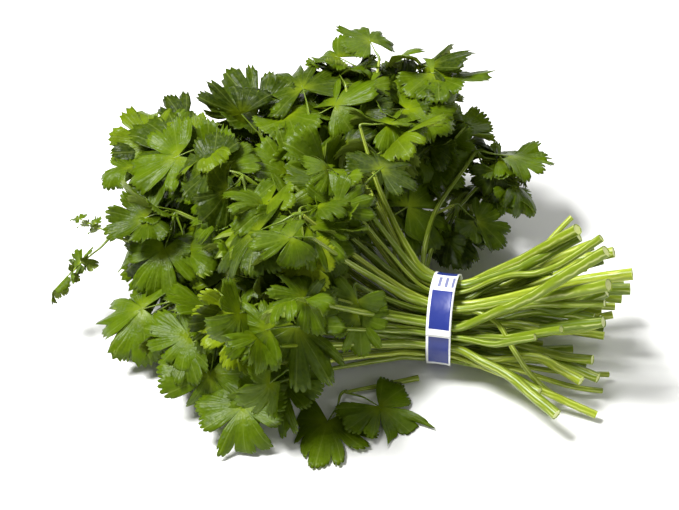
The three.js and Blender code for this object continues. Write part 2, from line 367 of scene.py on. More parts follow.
def stem_material(settings):
    """Coriander stem skin: smooth, juicy, finely ribbed along its length, light yellow-green with
    greener streaks, and paler ribs with a painted highlight along them, so it seems to shine softly in long
    lines."""
    material, tree, shader, output = new_material("Coriander stem, fresh")
    position = add_node(tree, "ShaderNodeTexCoord").outputs["Object"]
    tint = attribute(tree, "tint")
    round_share = attribute(tree, "round")
    # Ribs and streaks run along the stem, and wander a little every 9 mm or so.
    wobble = add_node(tree, "ShaderNodeTexNoise", inputs={"Scale": 1 / (9 * MM), "Detail": 2.0},
                      links={"Vector": position}).outputs["Fac"]
    turn = calculate(tree, "ADD", calculate(tree, "MULTIPLY", round_share, STEM_RIBS),
                     calculate(tree, "MULTIPLY", wobble, 1.2))
    rib = calculate(tree, "PINGPONG", turn, 0.5)
    streak = calculate(tree, "MULTIPLY", ramp(tree, rib, 0.1, 0.5), 0.45)
    skin = mix_colour(tree, ramp(tree, tint, 0.0, 1.0), hex_colour(settings.shade),
                      hex_colour(settings.skin))
    skin = mix_colour(tree, streak, skin, hex_colour(settings.shade))
    # Pale ribs, partly the ribs' own colour and partly a painted highlight: this paler share stands for the
    # soft shine along the stem.
    pale = calculate(tree, "MULTIPLY", ramp(tree, rib, 0.2, 0.0), ramp(tree, wobble, 0.35, 0.6))
    skin = mix_colour(tree, calculate(tree, "MULTIPLY", pale, 0.5), skin, hex_colour(PALE_RIB_AND_HIGHLIGHT))
    bump = add_node(tree, "ShaderNodeBump", inputs={"Strength": 0.35, "Distance": 0.3 * MM},
                    links={"Height": rib})
    tree.links.new(skin, shader.inputs["Base Color"])
    tree.links.new(bump.outputs["Normal"], shader.inputs["Normal"])
    shader.inputs["Roughness"].default_value = 0.32
    shader.inputs["IOR"].default_value = 1.4
    shader.inputs["Subsurface Weight"].default_value = 0.25
    shader.inputs["Subsurface Radius"].default_value = (0.8, 1.0, 0.3)
    shader.inputs["Subsurface Scale"].default_value = 1.5 * MM
    return material


def pith_material(settings):
    """A freshly cut stem end: pale, wet pith with a slightly greener grain, so it shines weakly."""
    material, tree, shader, output = new_material("Coriander pith, cut")
    position = add_node(tree, "ShaderNodeTexCoord").outputs["Object"]
    # The grain of the pith, in 0.7 mm patches: coarser than its cells, so that it shows.
    grain = add_node(tree, "ShaderNodeTexNoise", inputs={"Scale": 1 / (0.7 * MM), "Detail": 2.0},
                     links={"Vector": position}).outputs["Fac"]
    colour = mix_colour(tree, ramp(tree, grain, 0.35, 0.75), hex_colour(settings.pith),
                        hex_colour(PITH_GRAIN))
    bump = add_node(tree, "ShaderNodeBump", inputs={"Strength": 0.4, "Distance": 0.2 * MM},
                    links={"Height": grain})
    tree.links.new(colour, shader.inputs["Base Color"])
    tree.links.new(bump.outputs["Normal"], shader.inputs["Normal"])
    shader.inputs["Roughness"].default_value = 0.45
    return material


# The print in millimetres: two blocks a gap apart and then three bars, over and over again.
PRINT_REPEAT = 52.0
PRINT_START = 18.0  # from the strip's inner end to its first block
BLOCK_LENGTH = 17.0
BLOCK_GAP = 7.0
BARS_FROM, BARS_TO = 43.0, 50.0  # from the start of the first block
BAR_PITCH, BAR_SHARE = 3.0, 0.45  # across the strip, and how much of the pitch is printed
PRINTED_FROM, PRINTED_TO = 1.1, 10.2  # across the strip, which has plain edges


def tie_material(settings):
    """Laminated paper: white, a thin plastic gloss over small creases, with flat printed blocks."""
    material, tree, shader, output = new_material("Laminated paper, printed")
    uv = add_node(tree, "ShaderNodeUVMap", {"uv_map": "UVMap"}).outputs["UV"]
    parts = add_node(tree, "ShaderNodeSeparateXYZ", links={0: uv})
    along, across = parts.outputs["X"], parts.outputs["Y"]
    position = add_node(tree, "ShaderNodeTexCoord").outputs["Object"]
    shifted = calculate(tree, "ADD", along, PRINT_REPEAT - PRINT_START)
    step = calculate(tree, "MULTIPLY", PRINT_REPEAT,
                     calculate(tree, "FRACT", calculate(tree, "DIVIDE", shifted, PRINT_REPEAT)))

    def between(socket, low, high):
        return calculate(tree, "MULTIPLY", calculate(tree, "GREATER_THAN", socket, low),
                         calculate(tree, "LESS_THAN", socket, high))

    second = BLOCK_LENGTH + BLOCK_GAP
    blocks = calculate(tree, "ADD", between(step, 0.0, BLOCK_LENGTH),
                       between(step, second, second + BLOCK_LENGTH))
    thirds = calculate(tree, "FRACT", calculate(tree, "DIVIDE", across, BAR_PITCH))
    bars = calculate(tree, "MULTIPLY", between(thirds, 0.0, BAR_SHARE), between(step, BARS_FROM, BARS_TO))
    ink = calculate(tree, "MULTIPLY", between(across, PRINTED_FROM, PRINTED_TO),
                    calculate(tree, "MAXIMUM", blocks, calculate(tree, "MULTIPLY", bars, 0.85)))
    colour = mix_colour(tree, ink, hex_colour(settings.paper), hex_colour(settings.print))
    # Creases from being wound round stems a few millimetres thick, 6 mm apart.
    crease = add_node(tree, "ShaderNodeTexNoise", inputs={"Scale": 1 / (6 * MM), "Detail": 2.0},
                      links={"Vector": position}).outputs["Fac"]
    bump = add_node(tree, "ShaderNodeBump", inputs={"Strength": 0.5, "Distance": 0.5 * MM},
                    links={"Height": crease})
    tree.links.new(colour, shader.inputs["Base Color"])
    tree.links.new(bump.outputs["Normal"], shader.inputs["Normal"])
    shader.inputs["Roughness"].default_value = 0.38
    shader.inputs["Coat Weight"].default_value = 0.3
    shader.inputs["Coat Roughness"].default_value = 0.2
    return material


# ---------------------------------------------------------------- blades

# A blade is drawn flat round its heart, where the stalk meets it, with its tip 1 unit away along
# +X, and is then bent into shape. These are its three lobes: middle and half width in degrees
# round the heart, and reach.
LOBES = ((-93, 51, 0.84), (0, 42, 1.0), (93, 51, 0.84))
TOOTH_DEG = 6.0  # how much of the turn one tooth takes
FINE_ROWS = (0.0, 0.16, 0.32, 0.48, 0.64, 0.79, 0.92, 1.0)  # as shares of the way to the edge
COARSE_ROWS = (0.0, 0.3, 0.6, 0.85, 1.0)
# A tooth's outline: how far along it a point lies, and how far out, with 1 the edge without teeth.
FINE_TOOTH = ((0.0, 0.945), (0.17, 0.99), (0.52, 1.02), (0.85, 0.995))
COARSE_TOOTH = ((0.0, 0.955), (0.52, 1.02))
HEART = 0.2  # the lobes bend only farther out than this
USUAL_BLADE = 25 * MM  # the size that gives a blade the thickness asked for
PARTED_SHARE = 0.3  # of the blades are cut nearly down to the heart
NOTCH_AT = 0.36  # two shallow notches part each lobe in three, this far off its middle
# How the edge falls back: towards a lobe's sides, at its very sides, and beside each notch.
SIDE_FALL, CORNER_FALL, PART_FALL = 0.13, 0.16, 0.08
CLEFT_BOW = 0.55  # below 1, so that the lobes round out beside a cleft
DEEP_NOTCH = 2.2  # one notch between teeth in each part is so many times deeper
SMOOTH_EDGE = 0.95  # where the rows inside the teeth end, as a share of the edge
# How a blade bends, from least to most, in radians or in shares of its size.
CURL = (-0.7, 2.3)  # each lobe rolls down, or a little up
TWIST = (-0.7, 0.7)  # each lobe twists
VALLEY = (-0.25, 0.5)  # each lobe folds along its main vein
CUP = (-0.12, 0.2)  # each half of a lobe hollows
RUFFLE, WAVES = (0.04, 0.1), (6, 11)  # the edge waves
FOLD = (-0.7, 1.5)  # the whole blade folds along its middle
DROOP = (-0.1, 0.7)  # the whole blade rolls down towards its tip


def blade_rays(rng, tooth_points):
    """The rays from a blade's heart to the points of its edge, as columns: angle, length, length
    without teeth, nearness to a tooth's vein, nearness to a part's main vein, lobe, and the place
    across its part of the lobe, from -1 to 1."""
    parted = rng.rand() < PARTED_SHARE
    clefts = rng.uniform(0.1, 0.16, 4) if parted else rng.uniform(0.2, 0.42, 4)
    opening = rng.uniform(11, 17) if parted else rng.uniform(5, 11)
    rays = []
    for lobe, (middle, half, reach) in enumerate(LOBES):
        reach *= rng.uniform(0.88, 1.06)
        inner = (-NOTCH_AT + rng.uniform(-0.12, 0.12), NOTCH_AT + rng.uniform(-0.12, 0.12))
        edges = (-1.0, *inner, 1.0)
        depths = (clefts[lobe], *(reach * rng.uniform(0.58, 0.86, 2)), clefts[lobe + 1])
        widths = (opening, *rng.uniform(3, 8, 2), opening)
        for part in range(3):
            span = edges[part + 1] - edges[part]
            teeth = max(2, round(span * half / TOOTH_DEG))
            deep_notch = rng.randint(1, teeth)
            for tooth in range(teeth):
                uneven = rng.uniform(0.85, 1.15)
                for place, out in tooth_points:
                    share = (tooth + place) / teeth
                    off = edges[part] + span * share
                    across = 2 * share - 1
                    arch = reach * (1 - SIDE_FALL * off ** 2 - CORNER_FALL * off ** 6)
                    arch *= 1 - PART_FALL * across ** 2
                    for edge, depth, width in zip(edges, depths, widths):
                        near = min(1.0, abs(off - edge) * half / width)
                        arch = min(arch, depth + (reach - depth) * near ** CLEFT_BOW)
                    tall = (DEEP_NOTCH if tooth == deep_notch and place == 0 else 1.0) * uneven
                    length = arch * (1 + (out - 1) * (0 if tooth == 0 and place == 0 else tall))
                    vein = 1.0 if out > 1 else 0.0 if place == 0 else 0.5
                    rays.append((middle + half * off, length, arch * SMOOTH_EDGE, vein,
                                 max(0.0, 1 - abs(across) * 5), lobe, across))
    rays.append((LOBES[-1][0] + LOBES[-1][1], clefts[3], clefts[3] * SMOOTH_EDGE, 0.0, 0.0, 2, 1.0))
    return np.array(rays).T


def rolled(x, z, curl, start=0.0):
    """Rolls a sheet down round an axis: past a start, its x goes round a circle of curvature curl."""
    curl = np.where(np.abs(curl) < 1e-3, 1e-3, curl)
    angle = curl * np.maximum(x - start, 0.0)
    arm = 1 / curl + z
    rolled_x = np.where(x > start, start + arm * np.sin(angle), x)
    rolled_z = np.where(x > start, arm * np.cos(angle) - 1 / curl, z)
    return rolled_x, rolled_z


def shaped(x, y, z, angle, lobe, across, rng):
    """Bends a flat blade: each lobe curls, twists and folds by itself, then the whole one droops."""
    middles = np.radians([middle for middle, _, _ in LOBES])[lobe]
    curl = rng.uniform(*CURL, 3)[lobe]
    twist = rng.uniform(*TWIST, 3)[lobe]
    valley = rng.uniform(*VALLEY, 3)[lobe]
    cup = rng.uniform(*CUP, 9).reshape(3, 3)[lobe, np.where(across > 0, 1, 0)]
    waves, phase, ruffle = rng.uniform(*WAVES), rng.uniform(0, 6.28), rng.uniform(*RUFFLE)
    fold, droop = rng.uniform(*FOLD), rng.uniform(*DROOP)
    reach = np.hypot(x, y)
    free = np.clip((reach - 0.3) / 0.4, 0, 1)  # the lobes hollow and fold from 0.3 to 0.7 of the way
    free = free * free * (3 - 2 * free)
    u = x * np.cos(middles) + y * np.sin(middles)
    v = y * np.cos(middles) - x * np.sin(middles)
    z = z + ruffle * reach ** 3 * np.sin(angle * waves + phase)
    z = z + free * (valley * (np.sqrt(v * v + 0.002) - 0.045) - cup * across ** 2 * reach ** 2)
    turn = twist * np.maximum(u - HEART, 0)
    v, z = v * np.cos(turn) - z * np.sin(turn), v * np.sin(turn) + z * np.cos(turn)
    u, z = rolled(u, z, curl, HEART)
    x = u * np.cos(middles) - v * np.sin(middles)
    y = u * np.sin(middles) + v * np.cos(middles)
    x, z = rolled(x, z, droop)
    side = np.where(y < 0, -1.0, 1.0)
    width, z = rolled(np.abs(y), z, fold)
    return x, side * width, z


def blade_mesh(name, rng, thickness, rows, tooth_points):
    """One toothed blade as a thin closed shell, with its upper side towards +Z."""
    degrees, length, smooth, vein, main_vein, lobe, across = blade_rays(rng, tooth_points)
    angle = np.radians(degrees)
    count, last = len(angle), len(rows) - 1
    reach = np.array([row * (length if row == 1 else smooth) for row in rows])
    rim = np.array([0.4 if row == 1 else 1.0 for row in rows])[:, None]
    lobes = np.broadcast_to(lobe.astype(int), reach.shape)
    seed = rng.randint(1 << 30)
    sides = []
    for lift in (thickness / 2, -thickness / 2):
        x, y, z = shaped(reach * np.cos(angle), reach * np.sin(angle), lift * rim * np.ones(count),
                         angle, lobes, across, np.random.RandomState(seed))
        sides.append(np.stack((x, y, z), axis=-1))

    # Vertices run side by side, row by row; the first row of a side is one vertex, its heart.
    def corner(side, row, ray):
        return side * (last * count + 1) + (0 if row == 0 else 1 + (row - 1) * count + ray)

    def face(*places):
        return tuple(corner(*place) for place in places)

    points = np.concatenate([np.vstack((side[0, :1], side[1:].reshape(-1, 3))) for side in sides])
    faces = []
    end = count - 1
    for i in range(end):
        faces.append(face((0, 0, 0), (0, 1, i), (0, 1, i + 1)))
        faces.append(face((1, 0, 0), (1, 1, i + 1), (1, 1, i)))
        for row in range(1, last):
            faces.append(face((0, row, i), (0, row + 1, i), (0, row + 1, i + 1), (0, row, i + 1)))
            faces.append(face((1, row, i + 1), (1, row + 1, i + 1), (1, row + 1, i), (1, row, i)))
        faces.append(face((0, last, i), (1, last, i), (1, last, i + 1), (0, last, i + 1)))
    for row in range(last):
        faces.append(face((0, row, 0), (1, row, 0), (1, row + 1, 0), (0, row + 1, 0)))
        faces.append(face((0, row + 1, end), (1, row + 1, end), (1, row, end), (0, row, end)))
    mesh = bpy.data.meshes.new(name)
    mesh.from_pydata(points.tolist(), [], faces)
    mesh.polygons.foreach_set("use_smooth", [True] * len(faces))

    def per_vertex(values):
        side = np.concatenate(([values[0, 0]], values[1:].ravel()))
        return np.concatenate((side, side))

    whole = np.ones_like(reach)
    half = len(points) // 2
    for key, values in (("under", np.repeat((0.0, 1.0), half)), ("vein", per_vertex(vein * whole)),
                        ("main_vein", per_vertex(main_vein * whole)),
                        ("reach", per_vertex(np.array(rows)[:, None] * whole))):
        mesh.attributes.new(key, "FLOAT", "POINT").data.foreach_set("value", values)
    corners = np.empty(len(mesh.loops), dtype=np.int32)
    mesh.loops.foreach_get("vertex_index", corners)
    mesh.uv_layers.new(name="UVMap").data.foreach_set("uv", (0.5 + points[corners, :2] * 0.4).ravel())
    return mesh


def blade_collection(settings):
    """The blade shapes: first the fine ones, then as many coarse ones for the inside."""
    rng = np.random.RandomState(settings.seed)
    group = bpy.data.collections.new("blade shapes")
    for i in range(settings.variants * 2):
        rows, tooth = (FINE_ROWS, FINE_TOOTH) if i < settings.variants else (COARSE_ROWS, COARSE_TOOTH)
        mesh = blade_mesh(f"blade_{i:02d}", rng, settings.thickness / USUAL_BLADE, rows, tooth)
        group.objects.link(bpy.data.objects.new(mesh.name, mesh))
    return group


# ---------------------------------------------------------------- Geometry Nodes

def new_tree(name, inputs):
    """A Geometry Nodes tree with a geometry input and output, and the named inputs given."""
    tree = bpy.data.node_groups.new(name, "GeometryNodeTree")
    tree.interface.new_socket("Geometry", in_out="INPUT", socket_type="NodeSocketGeometry")
    for label, kind in inputs.items():
        tree.interface.new_socket(label, in_out="INPUT", socket_type=kind)
    tree.interface.new_socket("Geometry", in_out="OUTPUT", socket_type="NodeSocketGeometry")
    return tree, add_node(tree, "NodeGroupInput"), add_node(tree, "NodeGroupOutput")


def named(tree, name, kind="FLOAT"):
    """The value of a named attribute, as a socket."""
    node = add_node(tree, "GeometryNodeInputNamedAttribute", {"data_type": kind}, {"Name": name})
    return node.outputs["Attribute"]


def stalk_branch(tree, source, sides, material):
    """Skins every edge path with a tube as thick as its points say; returns the mesh socket."""
    curve = add_node(tree, "GeometryNodeMeshToCurve", links={"Mesh": source})
    smooth = add_node(tree, "GeometryNodeCurveSplineType", {"spline_type": "CATMULL_ROM"},
                      links={"Curve": curve.outputs[0]})
    fine = add_node(tree, "GeometryNodeSetSplineResolution", inputs={"Resolution": 3},
                    links={0: smooth.outputs[0]})
    circle = add_node(tree, "GeometryNodeCurvePrimitiveCircle", inputs={"Radius": 1.0},
                      links={"Resolution": sides})
    share = add_node(tree, "GeometryNodeSplineParameter")
    marked = add_node(tree, "GeometryNodeStoreNamedAttribute", {"data_type": "FLOAT", "domain": "POINT"},
                      {"Name": "round"},
                      {"Geometry": circle.outputs["Curve"], "Value": share.outputs["Factor"]})
    skin = add_node(tree, "GeometryNodeCurveToMesh", inputs={"Fill Caps": True},
                    links={"Curve": fine.outputs[0], "Profile Curve": marked.outputs[0],
                           "Scale": named(tree, "thickness")})
    soft = add_node(tree, "GeometryNodeSetShadeSmooth", links={0: skin.outputs[0]})
    done = add_node(tree, "GeometryNodeSetMaterial", links={0: soft.outputs[0], "Material": material})
    return done.outputs[0]


def stem_tree():
    """Tapering stems along the edge paths of the mesh it is given."""
    tree, start, end = new_tree("stems along paths",
                                {"Sides": "NodeSocketInt", "Skin": "NodeSocketMaterial"})
    mesh = stalk_branch(tree, start.outputs["Geometry"], start.outputs["Sides"], start.outputs["Skin"])
    whole = add_node(tree, "GeometryNodeRealizeInstances", links={0: mesh})
    done = add_node(tree, "GeometryNodeSetMaterial",
                    links={0: whole.outputs[0], "Material": start.outputs["Skin"]})
    tree.links.new(done.outputs[0], end.inputs[0])
    return tree


def leaf_tree():
    """Leaf stalks along the edge paths, and a blade on each point that asks for one."""
    tree, start, end = new_tree("leaves on stalks", {
        "Sides": "NodeSocketInt", "Blades": "NodeSocketCollection",
        "Skin": "NodeSocketMaterial", "Blade": "NodeSocketMaterial"})
    stalks = stalk_branch(tree, start.outputs["Geometry"], start.outputs["Sides"], start.outputs["Skin"])
    shapes = add_node(tree, "GeometryNodeCollectionInfo",
                      inputs={"Separate Children": True, "Reset Children": True},
                      links={"Collection": start.outputs["Blades"]})
    wants = add_node(tree, "FunctionNodeCompare", {"data_type": "FLOAT", "operation": "GREATER_THAN"},
                     {"B": 0.0}, {"A": named(tree, "blade_size")})
    turn = add_node(tree, "FunctionNodeEulerToRotation",
                    links={"Euler": named(tree, "blade_turn", "FLOAT_VECTOR")})
    placed = add_node(tree, "GeometryNodeInstanceOnPoints", inputs={"Pick Instance": True},
                      links={"Points": start.outputs["Geometry"], "Selection": wants.outputs[0],
                             "Instance": shapes.outputs[0], "Rotation": turn.outputs[0],
                             "Instance Index": named(tree, "blade_shape", "INT"),
                             "Scale": named(tree, "blade_size")})
    blades = add_node(tree, "GeometryNodeRealizeInstances", links={0: placed.outputs[0]})
    green = add_node(tree, "GeometryNodeSetMaterial",
                     links={0: blades.outputs[0], "Material": start.outputs["Blade"]})
    joined = add_node(tree, "GeometryNodeJoinGeometry")
    tree.links.new(stalks, joined.inputs[0])
    tree.links.new(green.outputs[0], joined.inputs[0])
    tree.links.new(joined.outputs[0], end.inputs[0])
    return tree


def made_mesh(source, tree, values, name):
    """Runs a tree on an object and returns the result as a new plain mesh object."""
    modifier = source.modifiers.new("nodes", "NODES")
    modifier.node_group = tree
    for item in tree.interface.items_tree:
        if item.in_out == "INPUT" and item.name in values:
            modifier[item.identifier] = values[item.name]
    bpy.context.view_layer.update()
    depsgraph = bpy.context.evaluated_depsgraph_get()
    mesh = bpy.data.meshes.new_from_object(source.evaluated_get(depsgraph), depsgraph=depsgraph)
    source.modifiers.remove(modifier)
    bpy.data.objects.remove(source)
    mesh.name = name
    piece = bpy.data.objects.new(name, mesh)
    bpy.context.scene.collection.objects.link(piece)
    return piece


class Paths:
    """Collects edge paths and blade points, with what the trees read at each point."""

    def __init__(self):
        self.points, self.edges = [], []
        self.thickness, self.tint = [], []
        self.size, self.turn, self.shape = [], [], []

    def add_path(self, points, thickness, tint):
        """A stalk through the points; thickness is a radius for each point."""
        first = len(self.points)
        for p, r in zip(points, thickness):
            self._add(p, r, tint, 0.0, (0, 0, 0), 0)
        self.edges += [(first + i, first + i + 1) for i in range(len(points) - 1)]

    def add_blade(self, foot, along, normal, size, shape, tint):
        """A blade from its heart along a direction, with its upper side towards normal."""
        x = unit(along)
        y = unit(np.cross(normal, x))
        z = np.cross(x, y)
        turn = Matrix(np.column_stack((x, y, z)).tolist()).to_euler()
        self._add(foot, 0.0, tint, size, tuple(turn), shape)

    def _add(self, point, thickness, tint, size, turn, shape):
        self.points.append(tuple(float(c) for c in point))
        self.thickness.append(float(thickness))
        self.tint.append(float(tint))
        self.size.append(float(size))
        self.turn.append(turn)
        self.shape.append(int(shape))

    def to_object(self, name):
        """A mesh object of loose points and edges that the trees turn into leaves and stems."""
        mesh = bpy.data.meshes.new(name)
        mesh.from_pydata(self.points, self.edges, [])
        for key, kind, values in (("thickness", "FLOAT", self.thickness), ("tint", "FLOAT", self.tint),
                                  ("blade_size", "FLOAT", self.size), ("blade_shape", "INT", self.shape)):
            mesh.attributes.new(key, kind, "POINT").data.foreach_set("value", values)
        turns = mesh.attributes.new("blade_turn", "FLOAT_VECTOR", "POINT")
        turns.data.foreach_set("vector", [c for turn in self.turn for c in turn])
        source = bpy.data.objects.new(name, mesh)
        bpy.context.scene.collection.objects.link(source)
        return source


# ---------------------------------------------------------------- leaves and stems

BLADE_FOOT = 0.40  # where a blade's heart lies, as a share of its leaf's length
BLADE_SIZE = 0.64  # of a leaf's length
# Leaves with smaller blades, as a share of the usual size.
SLIM_LEAVES = {"leaf_10a": 0.36, "leaf_10b": 0.36, "leaf_07c": 0.85, "leaf_17b": 0.85, "leaf_18": 0.8}
# Leaves whose colour stands out: 0 is the deepest green and 1 the youngest yellow-green.
LEAF_TINTS = {"leaf_17b": 0.95, "leaf_19": 0.6, "leaf_15": 0.85, "leaf_16": 0.25, "leaf_03b": 0.7}
# The thin sprigs at the far end, with how many degrees each is turned on edge. They are longer than
# in the frame, and small leaves grow on them: how far along, and on which side.
SPRIGS = {"leaf_10a": 12, "leaf_10b": 55}
SPRIG_LENGTH = 1.15
SIDE_LEAVES = ((0.28, 1), (0.4, -1), (0.52, 1))
SIDE_LEAF_SIZE = 0.2  # of the sprig's length


def bridge(start, start_way, end, end_way, count=7):
    """Points of a smooth curve from one point and direction to another."""
    span = np.linalg.norm(end - start)
    a, b = start + unit(start_way) * span * 0.4, end - unit(end_way) * span * 0.4
    shares = np.linspace(0, 1, count)[:, None]
    return ((1 - shares) ** 3 * start + 3 * (1 - shares) ** 2 * shares * a
            + 3 * (1 - shares) * shares ** 2 * b + shares ** 3 * end)


def add_leaf(paths, place, link, link_way, rng, shape, tint, slim=1.0, loose=1.0):
    """One leaf: a stalk from its link on a stem, and a lobed blade. A slim leaf has a smaller blade
    at the end of a longer stalk, and loose says how far a leaf may turn out of its place."""
    blade_foot = 1 - (1 - BLADE_FOOT) * slim
    stalk = bridge(np.array(link), link_way, place.spine(0.2), place.heading(0.2))
    rest = np.linspace(0.3, blade_foot - 0.02, 1 if slim == 1 else 3)
    stalk = np.vstack((stalk, [place.spine(s) for s in (*rest, blade_foot + 0.05)]))
    paths.add_path(stalk, np.linspace(1.0, 0.3, len(stalk)) * MM * (0.6 + 6 * place.length), 0.25 * tint)
    ahead = place.heading(blade_foot)
    ahead = turned(ahead, place.across, loose * rng.uniform(-0.5, 0.5))
    normal = turned(unit(np.cross(ahead, place.across)), ahead, loose * rng.uniform(-0.8, 0.8))
    ahead = turned(ahead, normal, loose * rng.uniform(-0.6, 0.6))
    size = BLADE_SIZE * slim * place.length * rng.uniform(0.95, 1.1)
    paths.add_blade(place.spine(blade_foot), ahead, normal, size, shape, tint)


def add_side_leaves(paths, place, rng, shape, variants, tint):
    """Small leaves on both sides of a thin sprig, nearly on edge."""
    for share, hand in SIDE_LEAVES:
        foot, ahead = place.spine(share), place.heading(share)
        out = turned(ahead, place.normal, hand * rng.uniform(0.6, 1.0))
        heart = foot + out * 0.1 * place.length
        paths.add_path((foot, (foot + heart) / 2, heart), (0.4 * MM, 0.35 * MM, 0.3 * MM), tint)
        normal = turned(place.normal, out, hand * rng.uniform(0.7, 1.2))
        paths.add_blade(heart, out, normal, SIDE_LEAF_SIZE * place.length, shape, tint)
        shape = (shape + 3) % variants


def parent_fork(node):
    """The fork of the stem that a leaf of the frame grows on, and the stem's direction there."""
    label = node.removeprefix("leaf_").rstrip("abc")
    centres, _ = STEMS["stem_" + label]
    return centres[-1], unit(centres[-1] - centres[-2])


def kept_in_height(piece, soft=6 * MM, least=0.25 * MM, over=2 * MM):
    """Leaves that would reach under the table, or stand too high over the bunch, bend instead."""
    mesh = piece.data
    points = np.empty(len(mesh.vertices) * 3)
    mesh.vertices.foreach_get("co", points)
    z = points[2::3]
    span = soft - least
    low = z < soft
    z[low] = least + span * np.exp((z[low] - soft) / span)
    top = CAD_BOX[1][2] + over
    high = z > top
    z[high] = top + span * (1 - np.exp((top - z[high]) / span))
    mesh.vertices.foreach_set("co", points)
    mesh.update()


def finish_piece(piece, slot, *nodes):
    """Ties a piece to the frame: it rides on the bunch and stands for the given nodes."""
    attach(piece, "root")
    if nodes:
        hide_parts(*nodes)


def wandering(path, rng, most=2.6 * MM):
    """The path with a slow wander towards its cut end, since no stem is quite straight."""
    moved = np.array(path)
    free = np.clip((moved[:, 0] - TIE_CENTRE[0]) / (40 * MM), 0, 1)
    steps = np.arange(len(moved))
    for axis in (1, 2):
        wave = np.sin(steps * rng.uniform(0.7, 1.3) + rng.uniform(0, 6.28))
        moved[:, axis] += most * free * wave
    return moved


def lying(path, thickness):
    """The path, raised where a stem of this thickness would reach under the table."""
    raised = np.array(path)
    raised[:, 2] = np.maximum(raised[:, 2], thickness + 0.3 * MM)
    return raised


def swollen(path, most, swelling=55 * MM):
    """How much thicker a stem is at each point: once in the tie, most times towards its cut end."""
    right = (np.array(path)[:, 0] - TIE_HIGH[0]) / swelling
    return 1 + (most - 1) * np.clip(right, 0, 1)


def cut_ends(piece, pith, rim=0.45 * MM, hollow=0.25 * MM):
    """Gives each stem's cut end a pale, slightly hollowed face of pith within a rim of skin."""
    mesh = piece.data
    mesh.materials.append(pith)
    bm = bmesh.new()
    bm.from_mesh(mesh)
    caps = [f for f in bm.faces if len(f.verts) > 4 and f.normal.x > 0.5]
    for face in caps:
        inner = bmesh.ops.inset_region(bm, faces=[face], thickness=rim, depth=-hollow)
        face.material_index = len(mesh.materials) - 1
        for other in inner["faces"]:
            other.material_index = 0
        for other in [face] + inner["faces"]:
            other.smooth = False
    bm.to_mesh(mesh)
    bm.free()


class CORIANDER_OT_stems(bpy.types.Operator):
    """Skin the stems that the frame holds"""
    bl_idname = "coriander.stems"
    bl_label = "Stems"

    def execute(self, context):
        settings = context.scene.coriander_stems
        rng = np.random.RandomState(5)
        skin, pith = bpy.data.materials["Coriander stem, fresh"], bpy.data.materials["Coriander pith, cut"]
        tree = stem_tree()
        for node in STEM_NODES:
            centres, radii = STEMS[node]
            paths = Paths()
            thickness = radii * rng.uniform(0.62, 1.0) * swollen(centres, 1.4)
            paths.add_path(lying(wandering(centres, rng), thickness), thickness, rng.uniform(0.1, 1.0))
            piece = made_mesh(paths.to_object("path"), tree, {"Sides": settings.sides, "Skin": skin},
                              "coriander_" + node)
            cut_ends(piece, pith)
            finish_piece(piece, "stem", node)
        return {"FINISHED"}


def leaf_values():
    """What the leaf tree needs: its blades and materials."""
    return {"Sides": 7, "Blades": bpy.data.collections["blade shapes"],
            "Skin": bpy.data.materials["Coriander stem, fresh"],
            "Blade": bpy.data.materials["Coriander leaf, fresh"]}


class CORIANDER_OT_leaves(bpy.types.Operator):
    """Grow a stalk and a toothed blade for each leaf of the frame"""
    bl_idname = "coriander.leaves"
    bl_label = "Leaves"

    def execute(self, context):
        settings = context.scene.coriander_leaves
        rng = np.random.RandomState(settings.seed + 1)
        tree = leaf_tree()
        for i, node in enumerate(LEAF_NODES):
            place = LEAVES[node]
            if node in SPRIGS:
                normal = turned(place.normal, place.along, math.radians(SPRIGS[node]))
                place = LeafPlace(place.foot, place.along, normal, place.length * SPRIG_LENGTH, place.sag)
            paths = Paths()
            tint = LEAF_TINTS.get(node, rng.uniform(0.1, 0.62))
            add_leaf(paths, place, *parent_fork(node), rng, i % settings.variants, tint,
                     SLIM_LEAVES.get(node, 1.0), 0.5)
            if node in SPRIGS:
                add_side_leaves(paths, place, rng, i % settings.variants, settings.variants, tint)
            piece = made_mesh(paths.to_object("path"), tree, leaf_values(), "coriander_" + node)
            kept_in_height(piece)
            finish_piece(piece, "leaf", node)
        return {"FINISHED"}


# ---------------------------------------------------------------- inner sprigs

def tie_slot(centres):
    """Where a stem's centre line passes the middle of the tie, as (y, z) from the tie's centre."""
    order = np.argsort(np.abs(centres[:, 0] - TIE_CENTRE[0]))[:2]
    a, b = centres[order[0]], centres[order[1]]
    share = (TIE_CENTRE[0] - a[0]) / (b[0] - a[0])
    return (a + (b - a) * share)[1:] - TIE_CENTRE[1:]


TIE_MARGIN = 3.4 * MM  # inner stems keep this far inside the tie's outer radius
SLOT_TRIES = 900
INNER_REACH = (0.93, 1.0)  # of the length of its neighbours, on the left of the tie
INNER_LENGTH = (40, 76)  # millimetres, on the right of the tie
INNER_SWING = (-0.7, 0.7)  # radians round the bundle, away from its place in the tie
INNER_SPREAD = (0.7, 1.35)  # of the usual spread
INNER_SWAY = 4.5  # millimetres off the straight line, half way
RISE = 0.22  # how much stems rise towards their cut ends
LEAST_HEIGHT = 2.2 * MM  # of an inner stem's middle line over the table


def free_slots(taken, count, rng):
    """Places in the tie between the stems of the frame, the roomiest first."""
    found = []
    taken = list(taken)
    limit = (TIE_HIGH[2] - TIE_LOW[2]) / 2 - TIE_MARGIN
    for _ in range(count):
        options = rng.uniform(-limit, limit, (SLOT_TRIES, 2))
        options = options[np.hypot(options[:, 0], options[:, 1]) < limit]
        room = np.min(np.linalg.norm(options[:, None] - np.array(taken)[None], axis=2), axis=1)
        best = options[np.argmax(room)]
        found.append(best)
        taken.append(best)
    return found


